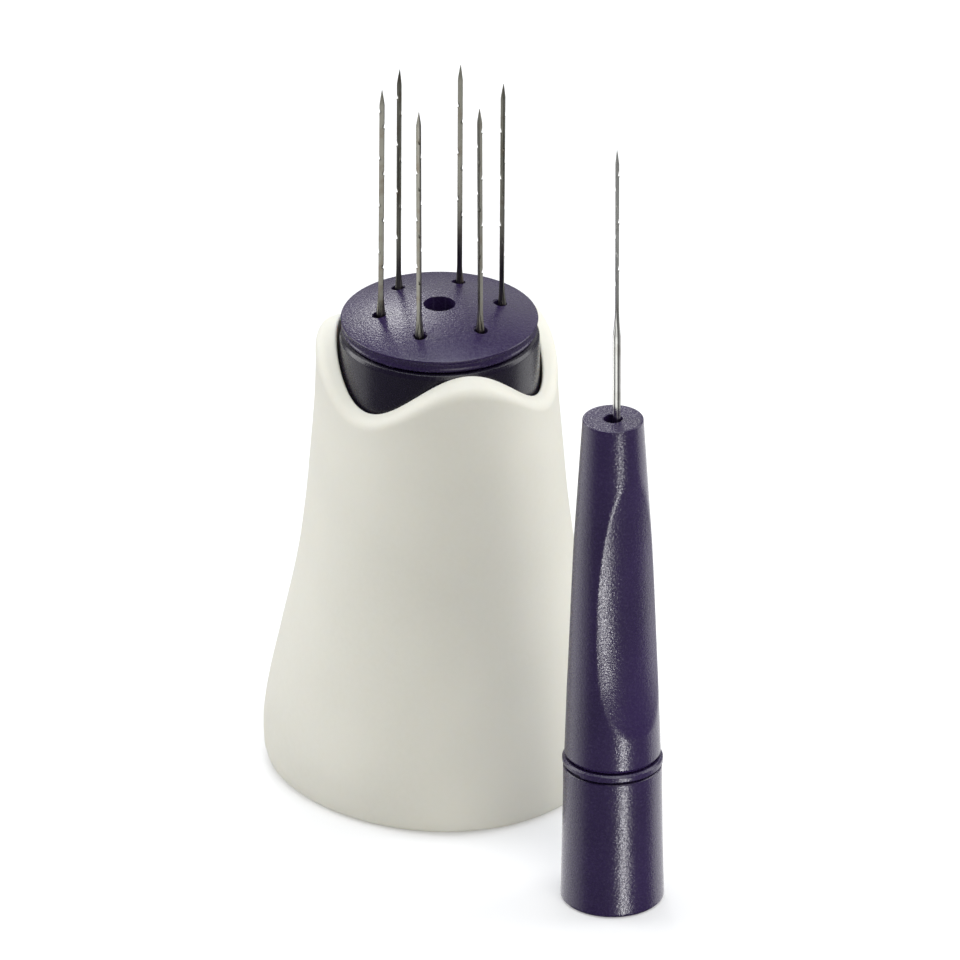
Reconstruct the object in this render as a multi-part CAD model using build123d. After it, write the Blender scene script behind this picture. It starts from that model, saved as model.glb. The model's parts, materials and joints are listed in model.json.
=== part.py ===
from build123d import *
import math
import os

# Needle-felting tool set: a palm tool that holds six barbed needles in a lift-out
# head, and a pen that holds one.  Millimetres, +Z up.  The origin is on the palm
# tool's axis, on the flat wide end that both tools' table plane passes through.

# ---------------------------------------------------------------- driving sizes
HANDLE_PROFILE = [  # height, mean outer radius of the bell
    (0.0, 23.75), (2.2, 24.3), (5.5, 24.4), (8.7, 24.1), (11.8, 23.6), (15.0, 22.95), (18.2, 22.25),
    (21.3, 21.6), (24.5, 20.9), (27.6, 20.25), (30.8, 19.65), (33.9, 19.15), (37.1, 18.75), (40.2, 18.4),
    (43.4, 18.1), (46.6, 17.85), (49.7, 17.6), (52.9, 17.35), (56.0, 17.15), (60.0, 17.0), (65.0, 16.9), (72.0, 16.85),
]
LOBE = 0.55             # the bell swells by this under each crest of the rim
HANDLE_WALL = 2.3
RIM_MEAN_Z = 63.5       # wavy rim: mean height of its inner edge
RIM_WAVE = 3.8          # half the height from dip to crest
RIM_CREST_DEG = 284.5   # one of the three crests
RIM_SLOPE = 0.47        # fall per mm of radius across the rim's wide bevel
SOCKET_R = 14.4         # bore that takes the needle head
SOCKET_TUBE_R = 15.8
SOCKET_FLOOR_Z = 22.0
SOCKET_LEDGE_T = 1.5
SOCKET_LEDGE_R = 11.5

PLATE_R = 21.4          # palm plate that closes the wide end
PLATE_T = 2.4

CUP_R = 14.12           # needle head's cup
CUP_TOP_R = 14.0
CUP_BORE_R = 12.5
CUP_BOTTOM_Z = 23.6
CUP_FLOOR_T = 2.0
CUP_TOP_Z = 67.15

CAP_R = 14.0            # domed cap
CAP_RIM_Z = 69.2
CAP_LIP_Z = 67.35
CAP_CROWN_Z = 71.35
CENTRE_HOLE_R = 2.25
NEEDLE_HOLE_R = 0.965
NEEDLE_PCD_R = 8.7
NEEDLE_FIRST_DEG = 12.0

CARRIER_R = 12.4
CARRIER_TOP_Z = 28.9
CRANK_AXIS_Z = 27.95    # axis of the bent end of each palm needle
SHANK_R = 0.915         # 15 gauge
MID_R = 0.605           # 18 gauge
CRANK_L = 4.2
CRANK_BEND_R = 1.5

# palm needles: azimuth number, tip height, sideways lean in degrees, roll of the blade, first barb's offset
PALM_NEEDLES = [
    (3, 105.9, 0.38, 20.0, 0.0), (2, 104.9, 0.22, 55.0, 1.1), (1, 104.7, 0.22, 5.0, 0.6),
    (0, 105.0, 0.36, 40.0, 1.7), (5, 105.3, -0.16, 70.0, 0.3), (4, 105.7, -0.12, 30.0, 1.4),
]
BLADE_R = 0.46          # corner radius of the palm needles' triangular blade
BLADE_LEN = 31.3
BARB_STEP = 2.45        # from one barb to the next, edge after edge

PEN_X, PEN_Y = 24.2, -42.1
PEN_CAP_TOP_Z = 20.9
PEN_CAP_BOTTOM_R = 7.25
PEN_CAP_TOP_R = 6.93
PEN_COLLAR_Z = (21.3, 22.3)
PEN_COLLAR_R = 7.06
PEN_GRIP_PROFILE = [  # height, outer radius
    (22.45, 6.76), (30.7, 6.49), (37.0, 6.28), (43.3, 6.07), (49.6, 5.81), (55.9, 5.48), (62.2, 5.08), (67.3, 4.76), (75.1, 4.27),
]
PEN_THREAD_R = 4.6
PEN_BORE_R = 1.6
PEN_NOSE_R = 1.33
PEN_NEEDLE_DX = 0.5
PEN_CRANK_Z = 29.11
PEN_TIP_Z = 117.1
PEN_BLADE_R = 0.35
PEN_BLADE_LEN = 24.6
PEN_MID_R = 0.565
RECESS_DEG = -54.0      # finger recess, and its twin on the opposite side
RECESS_ROUND_R = 10.5   # its floor is rounder than flat, but flatter than the grip
RECESS = [  # height, half the recess's width as an angle seen from the pen's axis
    (67.6, 0.0), (66.6, 13.5), (65.6, 23.0), (64.2, 31.7), (61.6, 41.5), (57.1, 51.6), (51.8, 57.8), (44.7, 60.2), (42.0, 60.0),
    (38.6, 58.3), (35.6, 55.6), (33.2, 50.6), (31.4, 44.1), (30.0, 36.8), (29.0, 29.5), (28.2, 19.0), (27.8, 0.0),
]

os.makedirs("parts", exist_ok=True)


def ring(r_out, r_in, z0, z1):
    """A plain tube wall standing on Z."""
    body = Pos(0, 0, z0) * Cylinder(r_out, z1 - z0, align=(Align.CENTER, Align.CENTER, Align.MIN))
    if r_in <= 0:
        return body
    return body - Pos(0, 0, z0 - 1) * Cylinder(r_in, z1 - z0 + 2, align=(Align.CENTER, Align.CENTER, Align.MIN))


def turned(points):
    """Solid of revolution about Z from (radius, height) corners."""
    face = make_face(Polyline(*[(r, 0, z) for r, z in points], close=True))
    return revolve(face, axis=Axis.Z)


def polar(r, deg, z=0.0):
    a = math.radians(deg)
    return (r * math.cos(a), r * math.sin(a), z)


def save(shape, name):
    solids = shape.solids()
    out = solids[0] if len(solids) == 1 else Compound(children=list(solids))
    export_step(out, f"parts/{name}.step")
    print(name, len(solids), round(sum(s.volume for s in solids), 1))
    return out


# ------------------------------------------------------------- handle shell
def lobed_section(r, z, lobe=LOBE, n=36):
    pts = []
    for k in range(n):
        deg = 360.0 * k / n
        rr = r + lobe * math.cos(math.radians(3 * (deg - RIM_CREST_DEG)))
        pts.append(polar(rr, deg, z))
    return Wire([Edge.make_spline([Vector(*p) for p in pts], periodic=True)])


bell = Solid.make_loft([lobed_section(r, z) for z, r in HANDLE_PROFILE])

# inside of the bell, below the socket tube
inner = [(r - HANDLE_WALL, z) for z, r in HANDLE_PROFILE if z <= 49.7]
hollow_face = make_face(Polyline(*([(SOCKET_TUBE_R, 0, -1), (inner[0][0], 0, -1)] + [(r, 0, z) for r, z in inner] + [(SOCKET_TUBE_R, 0, inner[-1][1])]), close=True)) if inner[-1][0] > SOCKET_TUBE_R else \
    make_face(Polyline(*([(SOCKET_TUBE_R, 0, -1), (inner[0][0], 0, -1)] + [(r, 0, z) for r, z in inner if r > SOCKET_TUBE_R + 0.2] + [(SOCKET_TUBE_R, 0, 46.0)]), close=True))
annulus = revolve(hollow_face, axis=Axis.Z)
socket = ring(SOCKET_R, 0, SOCKET_FLOOR_Z + SOCKET_LEDGE_T, 80)
ledge_hole = ring(SOCKET_LEDGE_R, 0, -2, 80)
under = ring(SOCKET_TUBE_R + 0.5, 0, -2, SOCKET_FLOOR_Z)

N_RIM = 48


def rim_curve(r):
    pts = []
    for k in range(N_RIM):
        deg = 360.0 * k / N_RIM
        z = RIM_MEAN_Z + RIM_WAVE * math.cos(math.radians(3 * (deg - RIM_CREST_DEG))) - RIM_SLOPE * (r - SOCKET_R)
        pts.append(Vector(*polar(r, deg, z)))
    return Edge.make_spline(pts, periodic=True)


lo_in, lo_out = rim_curve(11.0), rim_curve(21.0)
hi_in = Edge.make_circle(11.0, Plane((0, 0, 85)))
hi_out = Edge.make_circle(21.0, Plane((0, 0, 85)))
cutter_faces = [
    Face.make_surface_from_curves(lo_in, lo_out),
    Face.make_surface_from_curves(lo_out, hi_out),
    Face.make_surface_from_curves(hi_in, hi_out),
    Face.make_surface_from_curves(lo_in, hi_in),
]
rim_cutter = Solid(Shell(cutter_faces))
if rim_cutter.volume < 0:
    rim_cutter = Solid(Shell([-f for f in cutter_faces]))
shell = bell - rim_cutter
# soften the rim's outer edge before the inside is opened
top_edges = [e for e in shell.edges() if e.center(CenterOf.BOUNDING_BOX).Z > 50 and e.bounding_box().size.X > 30 and e.bounding_box().size.Z > 2]
try:
    shell = fillet(top_edges, 1.9)
    print("rim fillet on", len(top_edges))
except Exception as err:
    print("rim fillet failed", err)
base_edges = [e for e in shell.edges() if e.bounding_box().max.Z < 0.05]
try:
    shell = fillet(base_edges, 1.1)
except Exception as err:
    print("base fillet failed", err)
shell = shell - annulus - socket - ledge_hole - under
shell = Solid(shell.solids().sort_by(SortBy.VOLUME)[-1].wrapped)
save(shell, "handle_shell")

# ------------------------------------------------------------- palm plate
plate = turned([(0, 0), (PLATE_R - 0.5, 0), (PLATE_R, 0.5), (PLATE_R, PLATE_T), (17.4, PLATE_T), (17.4, 21.9), (16.2, 21.9), (16.2, PLATE_T), (0, PLATE_T)])
save(plate, "palm_plate")

# ------------------------------------------------------------- head cup
o_z = 40.0
cup = turned([
    (0, CUP_BOTTOM_Z), (CUP_R - 1.0, CUP_BOTTOM_Z), (CUP_R, CUP_BOTTOM_Z + 1.0), (CUP_R, o_z - 0.9), (CUP_R - 0.9, o_z - 0.9), (CUP_R - 0.9, o_z + 0.9), (CUP_R, o_z + 0.9),
    (CUP_R, 57.0), (CUP_TOP_R + 0.05, CUP_TOP_Z - 0.6), (CUP_TOP_R - 0.1, CUP_TOP_Z - 0.2), (CUP_TOP_R - 0.5, CUP_TOP_Z), (CUP_BORE_R, CUP_TOP_Z), (CUP_BORE_R, CUP_BOTTOM_Z + CUP_FLOOR_T), (0, CUP_BOTTOM_Z + CUP_FLOOR_T),
])
save(cup, "head_cup")
o_ring = revolve(Plane.XZ * Pos(CUP_R - 0.62, o_z) * Circle(0.83), axis=Axis.Z)
# the ring's inner half is squeezed in the cup's groove
o_ring = o_ring & ring(CUP_R + 0.25, CUP_R - 0.9, o_z - 0.9, o_z + 0.9)
save(o_ring, "head_o_ring")

# ------------------------------------------------------------- needle carrier
floor_z = CUP_BOTTOM_Z + CUP_FLOOR_T
carrier = ring(CARRIER_R, 2.6, floor_z, CARRIER_TOP_Z)
for k in range(6):
    deg = NEEDLE_FIRST_DEG + 60 * k
    slot = Pos((NEEDLE_PCD_R + 4.2) / 2, 0, CRANK_AXIS_Z - SHANK_R - 0.03) * Box(NEEDLE_PCD_R - 4.2, 2.1, 5, align=(Align.CENTER, Align.CENTER, Align.MIN))
    slot += Pos(NEEDLE_PCD_R, 0, CRANK_AXIS_Z - SHANK_R - 0.03) * Cylinder(1.05, 5, align=(Align.CENTER, Align.CENTER, Align.MIN))
    carrier -= Rot(0, 0, deg) * slot
save(carrier, "needle_carrier")
nut = ring(2.6, 1.3, floor_z, CARRIER_TOP_Z - 0.2)
save(nut, "clamp_nut")


# ------------------------------------------------------------- needles
def triangle_face(r, z, roll):
    pts = [Vector(*polar(r, roll + 120 * k, z)) for k in range(3)]
    return make_face(Polyline(*pts, close=True))


def needle(crank_z, tip_z, shank_top, mid_top, blade_z, blade_r, roll, first_barb, crank_l=CRANK_L, tip_len=2.3, mid_r=MID_R):
    """Bent end towards -X, straight part on Z."""
    path = Wire([
        Edge.make_line((-crank_l, 0, crank_z), (-CRANK_BEND_R, 0, crank_z)),
        Edge.make_three_point_arc((-CRANK_BEND_R, 0, crank_z), (-CRANK_BEND_R * (1 - math.sin(math.pi / 4)), 0, crank_z + CRANK_BEND_R * (1 - math.cos(math.pi / 4))), (0, 0, crank_z + CRANK_BEND_R)),
    ])
    crank = sweep(Plane((-crank_l, 0, crank_z), z_dir=(1, 0, 0)) * Circle(SHANK_R), path=path)
    straight = turned([
        (0, crank_z + CRANK_BEND_R), (SHANK_R, crank_z + CRANK_BEND_R), (SHANK_R, shank_top), (mid_r, shank_top + 1.6), (mid_r, mid_top),
        (blade_r * 0.62, blade_z), (0, blade_z),
    ])
    root_z = mid_top + 0.3
    prism = extrude(triangle_face(blade_r, root_z, roll), amount=tip_z - tip_len - root_z, dir=(0, 0, 1))
    point = loft([triangle_face(blade_r, tip_z - tip_len, roll), triangle_face(0.035, tip_z, roll)], ruled=True)
    blade = prism + point
    z = tip_z - tip_len - 1.2 - first_barb
    edge = 0
    while z > blade_z + 3.0:
        # a throat cut across one edge, steep on the side away from the tip
        pts = [(blade_r + 0.05, z + 0.62), (blade_r - 0.13, z + 0.05), (blade_r + 0.05, z - 0.10)]
        wedge = extrude(make_face(Polyline(*[(x, 0, zz) for x, zz in pts], close=True)), amount=0.4, dir=(0, 1, 0), both=True)
        blade -= Rot(0, 0, roll + 120 * edge) * wedge
        z -= BARB_STEP
        edge = (edge + 1) % 3
    return crank + straight + blade


palm_needles = []
for i, (k, tip, lean, roll, off) in enumerate(PALM_NEEDLES, 1):
    deg = NEEDLE_FIRST_DEG + 60 * k
    blade_z = tip - BLADE_LEN
    n = needle(CRANK_AXIS_Z, tip, 60.5, blade_z - 3.3, blade_z, BLADE_R, roll, off)
    n = Rot(0, 0, deg) * n
    n = Pos(0, 0, CRANK_AXIS_Z) * Rot(0, lean, 0) * Pos(0, 0, -CRANK_AXIS_Z) * n
    n = Pos(*polar(NEEDLE_PCD_R, deg)) * n
    save(n, f"needle_{i}")
    palm_needles.append(n)

# ------------------------------------------------------------- cap, with its spigot and screw boss
R_DOME = ((CAP_CROWN_Z - CAP_RIM_Z) ** 2 + CAP_R ** 2) / (2 * (CAP_CROWN_Z - CAP_RIM_Z))
dome = Pos(0, 0, CAP_CROWN_Z - R_DOME) * Sphere(R_DOME)
cap = turned([
    (0, 63.0), (4.4, 63.0), (4.4, CAP_LIP_Z), (10.9, CAP_LIP_Z), (10.9, 63.6), (12.0, 63.6), (12.25, 63.9), (12.25, CAP_LIP_Z),
    (CAP_R - 0.5, CAP_LIP_Z), (CAP_R - 0.16, CAP_LIP_Z + 0.3), (CAP_R - 0.28, CAP_LIP_Z + 0.6), (CAP_R - 0.33, CAP_LIP_Z + 0.95), (CAP_R - 0.26, CAP_RIM_Z - 0.55), (CAP_R - 0.08, CAP_RIM_Z - 0.3), (CAP_R, CAP_RIM_Z - 0.1), (CAP_R - 0.12, 80), (0, 80),
]) & (dome + Pos(0, 0, 40) * Cylinder(30, 50, align=(Align.CENTER, Align.CENTER, Align.MIN)) & ring(40, 0, 40, CAP_RIM_Z - 0.2) + dome)
cap = cap - ring(CENTRE_HOLE_R, 0, 60, 80) - ring(3.65, 0, 60, 67.0)
for k in range(6):
    cap -= Pos(*polar(NEEDLE_PCD_R, NEEDLE_FIRST_DEG + 60 * k)) * ring(NEEDLE_HOLE_R, 0, 60, 80)
save(cap, "needle_cap")

# pressure foot: tube in the cap's boss, with a disc that bears on the needles' bent ends
foot = turned([(1.35, 30.6), (11.8, 30.6), (11.8, 32.6), (3.65, 32.6), (3.65, 67.0), (2.45, 67.0), (2.45, 34.0), (1.35, 34.0)])
pad = ring(11.8, 1.6, 29.05, 30.6)
for k in range(6):
    hole = Pos(*polar(NEEDLE_PCD_R, NEEDLE_FIRST_DEG + 60 * k)) * ring(1.3, 0, 25, 35)
    foot -= hole
    pad -= hole
save(foot, "pressure_foot")
save(pad, "clamp_pad")

screw = turned([(0, 26.0), (1.0, 26.0), (1.25, 26.3), (1.25, 34.0), (2.1, 34.0), (2.1, 35.7), (1.9, 36.0), (0, 36.0)])
screw -= Pos(0, 0, 35.2) * Box(3.0, 0.7, 2, align=(Align.CENTER, Align.CENTER, Align.MIN))
screw -= Pos(0, 0, 35.2) * Box(0.7, 3.0, 2, align=(Align.CENTER, Align.CENTER, Align.MIN))
# the head bears on the foot's seat
save(screw, "clamp_screw")

# ------------------------------------------------------------- pen
AT_PEN = Pos(PEN_X, PEN_Y, 0)
end_cap = turned([
    (0, 0), (PEN_CAP_BOTTOM_R - 0.45, 0), (PEN_CAP_BOTTOM_R - 0.12, 0.14), (PEN_CAP_BOTTOM_R, 0.5), (PEN_CAP_BOTTOM_R - 0.1, 4.0), (7.03, 10.0), (PEN_CAP_TOP_R, 17.0), (PEN_CAP_TOP_R, PEN_CAP_TOP_Z - 0.25),
    (PEN_CAP_TOP_R - 0.25, PEN_CAP_TOP_Z), (5.2, PEN_CAP_TOP_Z), (5.2, 2.0), (0, 2.0),
])
save(AT_PEN * end_cap, "pen_end_cap")

core = turned([(0, 8.0), (5.2, 8.0), (5.2, PEN_CAP_TOP_Z), (6.3, PEN_CAP_TOP_Z), (6.3, 21.2), (PEN_THREAD_R, 21.2), (PEN_THREAD_R, 27.6), (3.6, 28.1), (3.6, PEN_CRANK_Z + SHANK_R + 0.03), (0, PEN_CRANK_Z + SHANK_R + 0.03)])
slot = Pos(PEN_NEEDLE_DX, 0, PEN_CRANK_Z - SHANK_R - 0.03) * (Pos(-2.3, 0, 0) * Box(4.6, 2.0, 5, align=(Align.CENTER, Align.CENTER, Align.MIN)) + Cylinder(1.0, 5, align=(Align.CENTER, Align.CENTER, Align.MIN)))
core -= slot
save(AT_PEN * core, "pen_core")

collar = turned([(4.65, 21.3), (PEN_COLLAR_R - 0.12, 21.3), (PEN_COLLAR_R, 21.42), (PEN_COLLAR_R, 22.0), (PEN_COLLAR_R - 0.35, 22.3), (4.65, 22.3)])
# shallow release notch in the collar's lower edge
notch = Pos(0, 0, 21.0) * (ring(8, 6.2, 0, 0.5) & (Rot(0, 0, 205) * Pos(10, 0, 0) * Box(20, 6.0, 4)))
collar -= notch
save(AT_PEN * collar, "pen_collar")

grip = turned([(0, 22.45), (6.36, 22.45), (6.52, 22.8), (PEN_GRIP_PROFILE[0][1], 23.0)] + [(r, z) for z, r in PEN_GRIP_PROFILE[1:-1]] + [(4.28, 74.9), (4.12, 75.1), (0, 75.1)])
def grip_radius(z):
    for (z0, r0), (z1, r1) in zip(PEN_GRIP_PROFILE, PEN_GRIP_PROFILE[1:]):
        if z <= z1:
            return r0 + (r1 - r0) * (z - z0) / (z1 - z0)
    return PEN_GRIP_PROFILE[-1][1]


def recess_centre(z, half_deg):
    """How far behind the pen's axis the centre of the recess floor's arc lies at this height."""
    r, a = grip_radius(z), math.radians(half_deg)
    return -r * math.cos(a) + math.sqrt(RECESS_ROUND_R ** 2 - (r * math.sin(a)) ** 2)


stations = [(z, recess_centre(z, h)) for z, h in RECESS]
# run out past the surface at both ends
stations = [(stations[0][0] + 1.6, RECESS_ROUND_R - grip_radius(69.2) - 0.22)] + stations + [(27.3, RECESS_ROUND_R - grip_radius(27.3) - 0.55), (26.9, RECESS_ROUND_R - grip_radius(26.9) - 1.1)]
stations.sort()
z_lo, z_hi = stations[0][0], stations[-1][0]
floor_body = Solid.make_loft([Wire([Edge.make_circle(RECESS_ROUND_R, Plane((-t, 0, z)))]) for z, t in stations])
scoop = (ring(13, 0, z_lo, z_hi) - floor_body) & (Pos(10, 0, (z_lo + z_hi) / 2) * Box(20, 30, z_hi - z_lo))
for deg in (RECESS_DEG, RECESS_DEG + 180):
    grip -= Rot(0, 0, deg) * scoop
grip -= ring(PEN_THREAD_R + 0.05, 0, 20, 28.15)
grip -= ring(3.9, 0, 20, 30.2)
grip -= ring(PEN_BORE_R, 0, 20, 70.0)
grip -= ring(PEN_NOSE_R, 0, 20, 80)
save(AT_PEN * grip, "pen_grip")

pblade = PEN_TIP_Z - PEN_BLADE_LEN
pn = needle(PEN_CRANK_Z, PEN_TIP_Z, 62.0, pblade - 4.5, pblade, PEN_BLADE_R, 15.0, 0.6, crank_l=3.4, mid_r=PEN_MID_R)
save(AT_PEN * Pos(PEN_NEEDLE_DX, 0, 0) * pn, "pen_needle")
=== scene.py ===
import bpy, bmesh, math, json
import numpy as np
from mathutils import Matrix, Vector


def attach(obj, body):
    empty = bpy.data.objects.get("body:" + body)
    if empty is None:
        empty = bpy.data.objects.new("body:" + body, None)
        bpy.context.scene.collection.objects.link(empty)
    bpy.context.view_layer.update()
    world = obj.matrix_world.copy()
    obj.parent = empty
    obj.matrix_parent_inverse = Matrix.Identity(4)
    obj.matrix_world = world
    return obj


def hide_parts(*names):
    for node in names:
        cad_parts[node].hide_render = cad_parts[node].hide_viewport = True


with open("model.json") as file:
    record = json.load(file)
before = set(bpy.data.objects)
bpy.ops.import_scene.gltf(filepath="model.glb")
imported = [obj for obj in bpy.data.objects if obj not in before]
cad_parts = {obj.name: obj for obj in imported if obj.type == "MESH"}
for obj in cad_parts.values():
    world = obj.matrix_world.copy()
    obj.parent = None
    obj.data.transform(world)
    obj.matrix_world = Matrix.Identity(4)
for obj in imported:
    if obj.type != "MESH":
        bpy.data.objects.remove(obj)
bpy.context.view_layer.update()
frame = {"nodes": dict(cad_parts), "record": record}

MM = 0.001
NODES = frame["nodes"]
RECORD = frame["record"]
MOUNTS = {m["name"]: m for m in RECORD["mounts"]}
PEN_X, PEN_Y = (v / MM for v in MOUNTS["pen_foot"]["pos_m"][:2])
scene = bpy.context.scene


# ------------------------------------------------------------------ mesh tools
def unit(v):
    return v / np.maximum(np.linalg.norm(v, axis=-1, keepdims=True), 1e-12)


def arc_rows(p0, p1, p2, rad, n):
    """A round of radius rad at the corner p1; every p is (N, 2) of (r, z)."""
    d1, d2 = unit(p1 - p0), unit(p2 - p1)
    phi = np.arccos(np.clip((d1 * d2).sum(-1), -1, 1))
    side = np.sign(d1[:, 0] * d2[:, 1] - d1[:, 1] * d2[:, 0])
    side[side == 0] = 1
    t = (rad * np.tan(phi / 2))[:, None]
    start = p1 - d1 * t
    normal = np.stack([-d1[:, 1], d1[:, 0]], 1) * side[:, None]
    centre = start + normal * rad
    rows = []
    for k in range(n + 1):
        a = phi * k / n * side
        v = start - centre
        rows.append(centre + np.stack([v[:, 0] * np.cos(a) - v[:, 1] * np.sin(a), v[:, 0] * np.sin(a) + v[:, 1] * np.cos(a)], 1))
    return rows


def section_rows(corners, closed, step=1.2, hold=0.12):
    """corners: list of (P, radius, segments), P (N, 2). Rounded corners, straight runs cut into rows, holding rows by each round."""
    m = len(corners)
    out = []
    ends = []
    for i, (p, rad, n) in enumerate(corners):
        if rad > 0 and (closed or 0 < i < m - 1):
            rows = arc_rows(corners[i - 1][0], p, corners[(i + 1) % m][0], rad, n)
        else:
            rows = [p]
        ends.append(rows)
    for i in range(m):
        out += ends[i]
        if i == m - 1 and not closed:
            break
        a, b = ends[i][-1], ends[(i + 1) % m][0]
        length = float(np.linalg.norm(b - a, axis=1).mean())
        if length < 1e-6:
            continue
        cuts = max(1, int(math.ceil(length / step)))
        ts = [k / cuts for k in range(1, cuts)]
        if length > 4 * hold:
            ts = sorted(set([hold / length] + [t for t in ts if hold * 1.5 / length < t < 1 - hold * 1.5 / length] + [1 - hold / length]))
        out += [a + (b - a) * t for t in ts]
    return out


def grid_mesh(name, rows, closed, pole_start=False, pole_end=False):
    """rows: (M, N, 3) in mm, each a closed ring."""
    rows = np.asarray(rows, float)
    m, n, _ = rows.shape
    verts = rows.reshape(-1, 3) * MM
    i = np.arange(m if closed else m - 1)
    j = np.arange(n)
    ii, jj = np.meshgrid(i, j, indexing="ij")
    a = (ii * n + jj).ravel()
    b = (ii * n + (jj + 1) % n).ravel()
    c = (((ii + 1) % m) * n + (jj + 1) % n).ravel()
    d = (((ii + 1) % m) * n + jj).ravel()
    faces = np.stack([a, b, c, d], 1).tolist()
    verts = verts.tolist()
    if pole_start:
        verts.append((rows[0].mean(0) * MM).tolist())
        k = len(verts) - 1
        faces += [(k, (q + 1) % n, q) for q in range(n)]
    if pole_end:
        verts.append((rows[-1].mean(0) * MM).tolist())
        k = len(verts) - 1
        base = (m - 1) * n
        faces += [(k, base + q, base + (q + 1) % n) for q in range(n)]
    mesh = bpy.data.meshes.new(name)
    mesh.from_pydata(verts, [], faces)
    bm = bmesh.new()
    bm.from_mesh(mesh)
    bmesh.ops.recalc_face_normals(bm, faces=bm.faces)
    bm.to_mesh(mesh)
    bm.free()
    # outward normals: a closed mesh with negative volume is inside out
    v = np.array([x.co for x in mesh.vertices])
    mesh.calc_loop_triangles()
    tri = np.array([t.vertices for t in mesh.loop_triangles])
    vol = np.einsum("ij,ij->i", v[tri[:, 0]], np.cross(v[tri[:, 1]], v[tri[:, 2]])).sum() / 6
    if vol < 0:
        mesh.flip_normals()
    mesh.shade_smooth()
    obj = bpy.data.objects.new(name, mesh)
    scene.collection.objects.link(obj)
    return obj


def const(r, z, n):
    return np.tile(np.array([[r, z]], float), (n, 1))


def ring3(rows, theta, cx=0.0, cy=0.0):
    """(N, 2) sections at each theta to (M, N, 3)."""
    rows = np.asarray(rows)
    x = rows[:, :, 0] * np.cos(theta) + cx
    y = rows[:, :, 0] * np.sin(theta) + cy
    return np.stack([x, y, rows[:, :, 1]], 2)


def turned(name, corners, n=192, cx=0.0, cy=0.0, step=1.2, hold=0.12):
    """Solid of revolution from (r, z, round radius) corners; ends on the axis become poles."""
    theta = np.arange(n) * 2 * math.pi / n
    pole0, pole1 = corners[0][0] == 0, corners[-1][0] == 0
    cs = [(const(max(r, 1e-4), z, n), rad, 6) for r, z, rad in corners]
    closed = not (pole0 and pole1)
    rows = section_rows(cs, closed, step, hold)
    if pole0 and pole1:
        rows = rows[1:-1]
    return grid_mesh(name, ring3(rows, theta, cx, cy), closed, pole0 and pole1, pole0 and pole1)


def smin(a, b, k):
    h = np.clip(k - np.abs(a - b), 0, None) / k
    return np.minimum(a, b) - h * h * k * 0.25


def boolean(obj, cutters, op="DIFFERENCE"):
    for c in cutters:
        m = obj.modifiers.new("cut", "BOOLEAN")
        m.operation = op
        m.solver = "EXACT"
        m.object = c
    dg = bpy.context.evaluated_depsgraph_get()
    mesh = bpy.data.meshes.new_from_object(obj.evaluated_get(dg))
    obj.modifiers.clear()
    old = obj.data
    obj.data = mesh
    bpy.data.meshes.remove(old)
    for c in cutters:
        bpy.data.objects.remove(c)


def smooth_curve(points, xs):
    """Monotone cubic through (x, y) points, so that a profile stays free of wiggles."""
    p = np.array(sorted(points), float)
    x, y = p[:, 0], p[:, 1]
    h = np.diff(x)
    d = np.diff(y) / h
    m = np.zeros_like(x)
    m[0], m[-1] = d[0], d[-1]
    for i in range(1, len(x) - 1):
        if d[i - 1] * d[i] <= 0:
            m[i] = 0
        else:
            w1, w2 = 2 * h[i] + h[i - 1], h[i] + 2 * h[i - 1]
            m[i] = (w1 + w2) / (w1 / d[i - 1] + w2 / d[i])
    xs = np.asarray(xs, float)
    k = np.clip(np.searchsorted(x, xs) - 1, 0, len(h) - 1)
    t = (xs - x[k]) / h[k]
    h00, h10 = (1 + 2 * t) * (1 - t) ** 2, t * (1 - t) ** 2
    h01, h11 = t * t * (3 - 2 * t), t * t * (t - 1)
    return h00 * y[k] + h10 * h[k] * m[k] + h01 * y[k + 1] + h11 * h[k] * m[k + 1]


# ------------------------------------------------------------------ materials
def new_mat(name):
    mat = bpy.data.materials.new(name)
    mat.use_nodes = True
    nt = mat.node_tree
    bsdf = next(n for n in nt.nodes if n.type == "BSDF_PRINCIPLED")
    return mat, nt, bsdf


def node(nt, kind, **inputs):
    n = nt.nodes.new(kind)
    for k, v in inputs.items():
        n.inputs[k.replace("_", " ")].default_value = v
    return n


def noise(nt, coord, scale, detail=2.0, rough=0.5, distortion=0.0):
    n = nt.nodes.new("ShaderNodeTexNoise")
    n.inputs["Scale"].default_value = scale
    n.inputs["Detail"].default_value = detail
    n.inputs["Roughness"].default_value = rough
    n.inputs["Distortion"].default_value = distortion
    nt.links.new(coord, n.inputs["Vector"])
    return n.outputs["Fac"]


def remap(nt, fac, lo, hi, out_lo, out_hi):
    n = nt.nodes.new("ShaderNodeMapRange")
    n.inputs["From Min"].default_value = lo
    n.inputs["From Max"].default_value = hi
    n.inputs["To Min"].default_value = out_lo
    n.inputs["To Max"].default_value = out_hi
    nt.links.new(fac, n.inputs["Value"])
    return n.outputs["Result"]


def mix_colour(nt, fac, a, b, mode="MIX"):
    n = nt.nodes.new("ShaderNodeMix")
    n.data_type = "RGBA"
    n.blend_type = mode
    n.clamp_factor = True
    if isinstance(fac, (int, float)):
        n.inputs[0].default_value = fac
    else:
        nt.links.new(fac, n.inputs[0])
    for sock, val in ((n.inputs[6], a), (n.inputs[7], b)):
        if isinstance(val, tuple):
            sock.default_value = (*val, 1.0)
        else:
            nt.links.new(val, sock)
    return n.outputs[2]


def coords(nt):
    return nt.nodes.new("ShaderNodeTexCoord").outputs["Object"]


def bump(nt, bsdf, height, strength, distance, below=None):
    n = nt.nodes.new("ShaderNodeBump")
    n.inputs["Strength"].default_value = strength
    n.inputs["Distance"].default_value = distance
    nt.links.new(height, n.inputs["Height"])
    if below is not None:
        nt.links.new(below, n.inputs["Normal"])
    return n.outputs["Normal"]


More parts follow.
